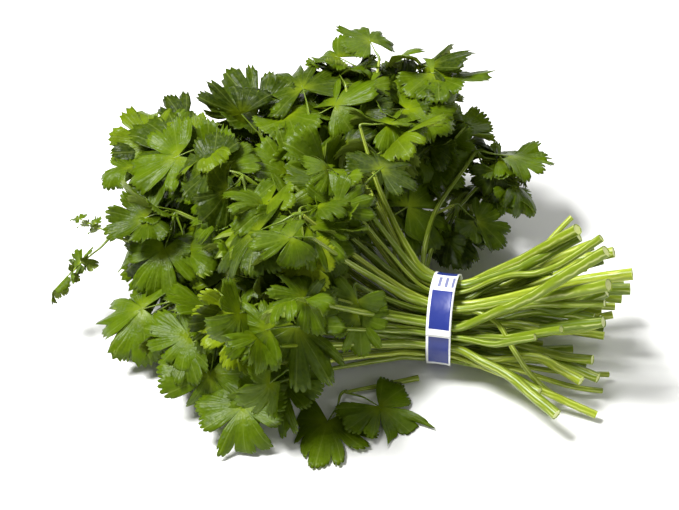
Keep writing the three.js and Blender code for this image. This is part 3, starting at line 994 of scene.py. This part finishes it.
def inner_path(slot, rng, settings, stems):
    """A stem between those of the frame, from its cut end to its fork."""
    slots = np.array([tie_slot(centres) for centres, _ in stems])
    near = np.argsort(np.linalg.norm(slots - slot, axis=1))[:2]
    weights = 1 / (np.linalg.norm(slots[near] - slot, axis=1) + 1 * MM)
    weights = weights / weights.sum() * np.array((1.3, 0.7))
    weights /= weights.sum()
    offset = slot - weights @ slots[near]
    reach = rng.uniform(*INNER_REACH)
    # To the left of the tie it goes as its two nearest neighbours do.
    left = []
    for share in np.linspace(0, 1, 9):
        point = np.zeros(3)
        for weight, index in zip(weights, near):
            centres = stems[index][0]
            path = centres[centres[:, 0] < TIE_CENTRE[0] - 6 * MM]
            at = share * reach * (len(path) - 1)
            low = int(min(at, len(path) - 2))
            point += weight * (path[low] + (path[low + 1] - path[low]) * (at - low))
        point[1:] += offset * (1 + 1.5 * share)
        left.append(point)
    # To the right it fans out to a cut end of its own.
    length = rng.uniform(*INNER_LENGTH) * MM
    swing = rng.uniform(*INNER_SWING)
    turned_slot = np.array((slot[0] * math.cos(swing) - slot[1] * math.sin(swing),
                            slot[0] * math.sin(swing) + slot[1] * math.cos(swing)))
    spread = settings.spread * rng.uniform(*INNER_SPREAD)
    end = TIE_CENTRE + np.array((length, *(turned_slot * spread)))
    end[2] += RISE * length + rng.uniform(-5, 5) * MM
    held = TIE_CENTRE + np.array((0, *slot))
    out = held + np.array((9 * MM, 0, 0))
    middle = out + (end - out) * 0.5 + np.array((0, *rng.uniform(-INNER_SWAY, INNER_SWAY, 2))) * MM
    right = [end, end + (middle - end) * 0.5, middle, out + (middle - out) * 0.45, out, held]
    path = np.array(right + left)
    path[:, 2] = np.maximum(path[:, 2], LEAST_HEIGHT)
    return path


FORK_LEAVES = 3  # at the end of an inner stem
FACING_FRONT = UP - np.array((0, 0.7, 0))
GATHERED_NODES = [node for node in STEM_NODES if node != "stem_loose"]
STRAY_RADIUS = 1.3 * MM
# Thin stems that stray from the others, each from its cut end to the tie, in millimetres from the
# point on the table under the tie.
STRAY_STEMS = (
    ((57, -22, 3), (51, -24, 8), (42, -25, 18), (33, -22, 30),
     (26, -16, 37), (17, -11, 38), (8, -8, 36), (-2, -7, 34)),
    ((74, -15, 4), (62, -17, 6), (48, -17, 9), (34, -15, 11), (20, -13, 10), (8, -10, 10), (-2, -9, 10)),
    ((76, -4, 4), (62, -9, 7), (44, -11, 9), (26, -9, 9), (9, -6, 8), (-2, -5, 9)),
    ((52, 33, 62), (46, 28, 56), (37, 19, 48), (26, 12, 43), (14, 9, 40), (5, 7, 38), (-4, 7, 37)),
    ((66, 42, 44), (58, 34, 44), (46, 24, 42), (30, 15, 40), (14, 11, 37), (-2, 10, 35)),
)


# Leaves that lie over the stems where those spread out: the foot in millimetres from the point on
# the table under the tie; then heading, pitch and roll in degrees; and the length in millimetres.
NECK_LEAVES = (
    ((-72, -13, 86), -15, -20, 35, 38),
    ((-62, -4, 82), 5, -8, 40, 34),
    ((-62, -11, 77), -35, -30, 35, 34),
    ((-83, 8, 81), -30, -20, 30, 40),
    ((-39, -23, 61), -50, -60, 10, 26),
)


def leaf_from(foot, heading, pitch, roll, length, sag):
    """A leaf's place from its foot and its angles in degrees."""
    h, p = math.radians(heading), math.radians(pitch)
    along = np.array((math.cos(h) * math.cos(p), math.sin(h) * math.cos(p), math.sin(p)))
    side = unit(np.cross(UP, along))
    normal = turned(np.cross(along, side), along, math.radians(roll))
    return LeafPlace(foot, along, normal, length, sag)


def is_kept_free(x, y):
    """Whether a place, in millimetres from the tie, is free of inner leaves: near the tie, where the
    stems lie bare, and in front of the head."""
    return (x > -36 and y < 38) or (x > -54 and y < -26) or y < -56


def leaf_fits(place):
    """Whether a leaf stays in the frame's box, off the table and away from the bare stems."""
    low, high = np.array(CAD_BOX[0]) + UP * 3 * MM, np.array(CAD_BOX[1])
    for share in (0.3, 0.6, 1.0):
        for side in (-0.3, 0.0, 0.3):
            point = place.spine(share) + place.across * place.length * side
            x, y, _ = (point - TIE_CENTRE) / MM
            if np.any(point < low) or np.any(point > high) or is_kept_free(x, y):
                return False
    return True


# An inner leaf turns from the way out of the head by these degrees, and has these millimetres.
LEAF_YAW, LEAF_PITCH, LEAF_ROLL = (-50, 50), (-30, 25), (-30, 30)
LEAF_LENGTH, LEAF_SAG = (30, 46), (1, 5)
FORK_TRIES, BESIDE_TRIES = 16, 12
SCATTER = 25 * MM  # how loosely the leaves point out of the head
FLATTEN = 0.6  # of the way out's own pitch is kept, since leaves lie on each other


def leaf_at_fork(fork, head, rng):
    """A leaf's place at a fork, pointing away from the head's middle, or None if none fits."""
    for _ in range(FORK_TRIES):
        outwards = unit(fork - head + rng.normal(0, SCATTER, 3))
        heading = math.degrees(math.atan2(outwards[1], outwards[0])) + rng.uniform(*LEAF_YAW)
        pitch = math.degrees(math.asin(outwards[2])) * FLATTEN + rng.uniform(*LEAF_PITCH)
        length = rng.uniform(*LEAF_LENGTH) * MM
        roll = rng.uniform(*LEAF_ROLL)
        place = leaf_from(fork, heading, pitch, roll, length, rng.uniform(*LEAF_SAG) * MM)
        if leaf_fits(place):
            return place
    return None


def leaf_beside(place, fork, hand, rng):
    """A leaf's place on one side of a leaf of the frame, or None if none fits."""
    for _ in range(BESIDE_TRIES):
        along = turned(place.along, UP, hand * rng.uniform(0.3, 1.0))
        along = along + UP * rng.uniform(-0.4, 0.2)
        foot = fork - UP * rng.uniform(1, 9) * MM
        length = place.length * rng.uniform(0.7, 1.0)
        beside = LeafPlace(foot, along, place.normal, length, place.sag)
        if leaf_fits(beside):
            return beside
    return None


class InnerLeaves:
    """Collects the inner leaves, each in one of a few pieces so that none is too large."""

    def __init__(self, settings, rng, pieces=4):
        self.paths = [Paths() for _ in range(pieces)]
        self.variants = settings.variants
        self.rng = rng
        self.usual_tint = 0.4

    def add(self, turn, place, link, way):
        """A leaf of a random coarse shape and tint; turn says which piece it goes in."""
        shape = self.variants + self.rng.randint(self.variants)
        tint = self.rng.uniform(0.0, 0.7)
        add_leaf(self.paths[turn % len(self.paths)], place, link, way, self.rng, shape, tint)

    def add_plain(self, turn, place, link, way, shape):
        """A leaf of a given shape, in the usual green."""
        paths = self.paths[turn % len(self.paths)]
        add_leaf(paths, place, link, way, self.rng, shape, self.usual_tint)


def add_inner_stems(stem_paths, gathered, settings, rng):
    """Adds the inner stems; returns where leaves grow on them: point, direction and how many."""
    forks = []
    for slot in free_slots([tie_slot(centres) for centres, _ in gathered], settings.inner_count, rng):
        path = inner_path(slot, rng, settings, gathered)
        taper = np.interp(np.arange(len(path)), (0, 6, len(path) - 1), (1.0, 1.0, 0.4))
        thickness = taper * swollen(path, 1.5) * settings.radius * rng.uniform(0.65, 1.08)
        stem_paths.add_path(lying(path, thickness), thickness, rng.uniform(0.1, 1.0))
        for k, count in ((1, FORK_LEAVES), (2, 1), (3, 2)):
            forks.append((path[-k], path[-k] - path[-k - 1], count))
    return forks


def frame_forks():
    """Where inner leaves grow on the frame's stems: point, direction and how many. The thin sprig at
    the far end stays bare towards its tip."""
    forks = []
    for node in GATHERED_NODES:
        centres = STEMS[node][0]
        for k in range(4 if node == "stem_10" else 1, 7):
            if centres[-k][0] < TIE_CENTRE[0] - 30 * MM:
                forks.append((centres[-k], centres[-k] - centres[-k - 1], 1))
    return forks


def add_leaves_at_forks(leaves, forks, head, rng):
    """Adds leaves at forks. No stem ends bare: where there is no room for a leaf at its end, a short
    one goes on along it."""
    for i, (fork, way, count) in enumerate(forks):
        grown = 0
        for _ in range(count):
            place = leaf_at_fork(fork, head, rng)
            if place:
                leaves.add(i, place, fork, way)
                grown += 1
        if count == FORK_LEAVES and not grown:
            along = unit(unit(way) + rng.normal(0, 0.25, 3) - UP * 0.3)
            place = LeafPlace(fork, along, FACING_FRONT, 30 * MM, 2 * MM)
            leaves.add_plain(i, place, fork, way, leaves.variants + i % leaves.variants)


def add_leaves_beside(leaves, rng):
    """Adds a leaf on both sides of each leaf of the frame, and a third at the far side, where the
    head is fullest."""
    for i, (node, place) in enumerate(LEAVES.items()):
        if "loose" in node or node in SLIM_LEAVES:
            continue
        fork, way = parent_fork(node)
        hands = (-1, 1, 0.3) if fork[1] > TIE_CENTRE[1] + 60 * MM else (-1, 1)
        for hand in hands:
            beside = leaf_beside(place, fork, hand, rng)
            if beside:
                leaves.add(i, beside, fork, way)


def add_neck_leaves(leaves, gathered):
    """Adds the leaves that lie over the stems, each linked to the nearest of them."""
    lines = np.vstack([centres[2:] for centres, _ in gathered])
    for i, (foot, heading, pitch, roll, length) in enumerate(NECK_LEAVES):
        foot = TIE_CENTRE * (1, 1, 0) + np.array(foot) * MM
        place = leaf_from(foot, heading, pitch, roll, length * MM, 3 * MM)
        link = lines[np.argmin(np.linalg.norm(lines - foot, axis=1))]
        leaves.add_plain(i, place, link, UP - place.along, i * 4)


class CORIANDER_OT_inner_sprigs(bpy.types.Operator):
    """Fill the bunch with the sprigs between those of the frame"""
    bl_idname = "coriander.inner_sprigs"
    bl_label = "Inner sprigs"

    def execute(self, context):
        settings = context.scene.coriander_stems
        rng = np.random.RandomState(context.scene.coriander_leaves.seed + 2)
        gathered = [STEMS[node] for node in GATHERED_NODES]
        head = np.array([place.spine(0.5) for place in LEAVES.values()]).mean(0)
        stem_paths, leaves = Paths(), InnerLeaves(context.scene.coriander_leaves, rng)
        forks = add_inner_stems(stem_paths, gathered, settings, rng)
        add_leaves_at_forks(leaves, forks + frame_forks(), head, rng)
        for route in STRAY_STEMS:
            points = TIE_CENTRE * (1, 1, 0) + np.array(route) * MM
            thickness = np.linspace(1.0, 0.85, len(points)) * STRAY_RADIUS
            stem_paths.add_path(points, thickness, rng.uniform(0.5, 1.0))
        add_leaves_beside(leaves, rng)
        add_neck_leaves(leaves, gathered)
        skin = bpy.data.materials["Coriander stem, fresh"]
        values = {"Sides": settings.sides - 2, "Skin": skin}
        piece = made_mesh(stem_paths.to_object("path"), stem_tree(), values, "inner_stems")
        cut_ends(piece, bpy.data.materials["Coriander pith, cut"])
        finish_piece(piece, "stem")
        for i, paths in enumerate(leaves.paths):
            piece = made_mesh(paths.to_object("path"), leaf_tree(), leaf_values(), f"inner_leaves_{i + 1}")
            kept_in_height(piece)
            finish_piece(piece, "leaf")
        return {"FINISHED"}


# ---------------------------------------------------------------- the tie

STRIP_STEPS, STRIP_ROWS = 150, 8  # along the strip and across it
STRIP_RADIUS = (TIE_HIGH[1] - TIE_LOW[1]) / 2 - 1.1 * MM  # of the inner face, at the inner end
STRIP_WIDTH = TIE_HIGH[0] - TIE_LOW[0]
LAP_RISE = 2.6  # how many thicknesses the outer end lies farther out than the inner end
RIPPLE_WAVES = (3, 5, 8, 13)  # in a full turn
RIPPLE = 0.12 * MM
FLARE = 0.35 * MM  # how far the strip's edges stand off the stems
DRIFT = 0.5 * MM  # how far the strip wanders along the stems
UNPRINTED = [(-5, 0)] * 4  # a place on the print that is plain paper


def strip_point(swept, across, lift, settings, ripples):
    """A point of the strip: how far round and across it, and how far out of its inner face."""
    angle = settings.start + swept
    lapped = max(0.0, swept - math.pi) / (math.pi + settings.lap)
    radius = STRIP_RADIUS + lapped * LAP_RISE * settings.thickness + lift
    radius += sum(size * math.sin(k * angle + phase) for k, size, phase in ripples)
    radius += FLARE * abs(2 * across - 1) ** 3
    return (TIE_LOW[0] + STRIP_WIDTH * across + DRIFT * math.sin(2 * angle + 1.0),
            TIE_CENTRE[1] + radius * math.cos(angle),
            TIE_CENTRE[2] + radius * math.sin(angle))


def strip_mesh(settings):
    """The strip as a closed thin band, with the print's millimetres as its texture coordinates."""
    rng = np.random.RandomState(3)
    ripples = [(k, rng.uniform(-1, 1) * RIPPLE, rng.uniform(0, 6.28)) for k in RIPPLE_WAVES]
    turn = 2 * math.pi + settings.lap
    bm = bmesh.new()
    uv_layer = bm.loops.layers.uv.new("UVMap")
    outer, inner = [
        [[bm.verts.new(strip_point(turn * i / STRIP_STEPS, j / STRIP_ROWS, lift, settings, ripples))
          for j in range(STRIP_ROWS + 1)] for i in range(STRIP_STEPS + 1)]
        for lift in (settings.thickness, 0.0)]

    def quad(corners, uvs):
        face = bm.faces.new(corners)
        face.smooth = True
        for loop, uv in zip(face.loops, uvs):
            loop[uv_layer].uv = uv

    def edge_quad(corners, flip):
        quad(corners[::-1] if flip else corners, UNPRINTED)

    arc = STRIP_RADIUS * turn / STRIP_STEPS / MM
    wide = STRIP_WIDTH / STRIP_ROWS / MM
    for i in range(STRIP_STEPS):
        for j in range(STRIP_ROWS):
            print_corners = [(i * arc, j * wide), ((i + 1) * arc, j * wide),
                             ((i + 1) * arc, (j + 1) * wide), (i * arc, (j + 1) * wide)]
            quad([outer[i][j], outer[i + 1][j], outer[i + 1][j + 1], outer[i][j + 1]], print_corners)
            quad([inner[i][j + 1], inner[i + 1][j + 1], inner[i + 1][j], inner[i][j]], UNPRINTED)
        for j, flip in ((0, False), (STRIP_ROWS, True)):
            edge_quad([outer[i][j], inner[i][j], inner[i + 1][j], outer[i + 1][j]], flip)
    for i, flip in ((0, False), (STRIP_STEPS, True)):
        for j in range(STRIP_ROWS):
            edge_quad([outer[i][j], outer[i][j + 1], inner[i][j + 1], inner[i][j]], flip)
    bmesh.ops.recalc_face_normals(bm, faces=bm.faces)
    mesh = bpy.data.meshes.new("paper_tie")
    bm.to_mesh(mesh)
    bm.free()
    return mesh


class CORIANDER_OT_tie(bpy.types.Operator):
    """Wrap the printed strip round the stems"""
    bl_idname = "coriander.tie"
    bl_label = "Tie"

    def execute(self, context):
        settings = context.scene.coriander_tie
        mesh = strip_mesh(settings)
        mesh.materials.append(tie_material(settings))
        piece = bpy.data.objects.new("paper_tie", mesh)
        bpy.context.scene.collection.objects.link(piece)
        finish_piece(piece, "tie_strip", "tie")
        return {"FINISHED"}


# ---------------------------------------------------------------- the stage

# The lights: name, place and size in metres, and power in watts. They all point at one place.
LAMPS = (
    ("key", (-0.75, -0.2, 1.5), 0.55, 57.0),
    ("fill", (1.0, -1.2, 0.8), 1.4, 5.0),
    ("back", (0.3, 1.3, 1.2), 1.0, 10.0),
)
LIT_POINT = Vector((0, 0, 0.04))
WORLD_LIGHT = 0.16
CAMERA_AZIMUTH = math.radians(10)
CAMERA_ELEVATION = math.radians(40)
CAMERA_DISTANCE = 0.849
VIEW_OFFSET = Vector((-49.2, 10.4, 21.9)) * MM  # from the tie's centre to where the camera looks
LENS, SENSOR = 100, 36  # millimetres


class CORIANDER_OT_stage(bpy.types.Operator):
    """Set the pale floor, the soft light and the camera"""
    bl_idname = "coriander.stage"
    bl_label = "Stage"

    def execute(self, context):
        scene = context.scene
        bpy.ops.mesh.primitive_plane_add(size=6, location=(0, 0, 0))
        floor = context.active_object
        floor.name = "floor"
        material, tree, shader, _ = new_material("Pale table")
        shader.inputs["Base Color"].default_value = hex_colour(TABLE)
        shader.inputs["Roughness"].default_value = 0.9
        floor.data.materials.append(material)

        world = bpy.data.worlds.new("studio")
        world.use_nodes = True
        world.node_tree.nodes["Background"].inputs["Color"].default_value = (1, 1, 1, 1)
        world.node_tree.nodes["Background"].inputs["Strength"].default_value = WORLD_LIGHT
        scene.world = world
        for name, place, size, power in LAMPS:
            lamp = bpy.data.lights.new(name, "AREA")
            lamp.size = size
            lamp.energy = power
            light = bpy.data.objects.new(name, lamp)
            light.location = place
            light.rotation_euler = (LIT_POINT - Vector(place)).to_track_quat("-Z", "Y").to_euler()
            scene.collection.objects.link(light)

        camera = bpy.data.objects.new("camera", bpy.data.cameras.new("camera"))
        camera.data.lens = LENS
        camera.data.sensor_width = SENSOR
        camera.data.clip_start = 0.05
        level = math.cos(CAMERA_ELEVATION)
        back = Vector((math.sin(CAMERA_AZIMUTH) * level, -math.cos(CAMERA_AZIMUTH) * level,
                       math.sin(CAMERA_ELEVATION)))
        camera.location = Vector(TIE_CENTRE) + VIEW_OFFSET + back * CAMERA_DISTANCE
        camera.rotation_euler = back.to_track_quat("Z", "Y").to_euler()
        scene.collection.objects.link(camera)
        scene.camera = camera
        scene.view_settings.view_transform = "Standard"
        return {"FINISHED"}


class CORIANDER_PT_panel(bpy.types.Panel):
    """Lists what makes the bunch"""
    bl_label = "Coriander bunch"
    bl_idname = "CORIANDER_PT_panel"
    bl_space_type = "VIEW_3D"
    bl_region_type = "UI"
    bl_category = "Coriander"

    def draw(self, context):
        for operator in OPERATORS:
            self.layout.operator(operator.bl_idname)
        for key in SETTINGS:
            settings = getattr(context.scene, key)
            box = self.layout.box()
            for name in settings.bl_rna.properties.keys():
                if name not in ("rna_type", "name"):
                    box.prop(settings, name)


SETTINGS = {"coriander_leaves": CorianderLeafSettings, "coriander_stems": CorianderStemSettings,
            "coriander_tie": CorianderTieSettings}
OPERATORS = (CORIANDER_OT_stems, CORIANDER_OT_leaves, CORIANDER_OT_inner_sprigs, CORIANDER_OT_tie,
             CORIANDER_OT_stage)


def register():
    """Registers the settings, operators and panel."""
    for name, kind in SETTINGS.items():
        bpy.utils.register_class(kind)
        setattr(bpy.types.Scene, name, bpy.props.PointerProperty(type=kind))
    for kind in OPERATORS + (CORIANDER_PT_panel,):
        bpy.utils.register_class(kind)


def unregister():
    """Removes what register added."""
    for kind in (CORIANDER_PT_panel,) + OPERATORS[::-1]:
        bpy.utils.unregister_class(kind)
    for name, kind in SETTINGS.items():
        delattr(bpy.types.Scene, name)
        bpy.utils.unregister_class(kind)


def main():
    """Makes the whole bunch."""
    register()
    scene = bpy.context.scene
    leaf_material(scene.coriander_leaves)
    stem_material(scene.coriander_stems)
    pith_material(scene.coriander_stems)
    blade_collection(scene.coriander_leaves)
    bpy.ops.coriander.stems()
    bpy.ops.coriander.leaves()
    bpy.ops.coriander.inner_sprigs()
    bpy.ops.coriander.tie()
    bpy.ops.coriander.stage()


if __name__ == "__main__":
    main()
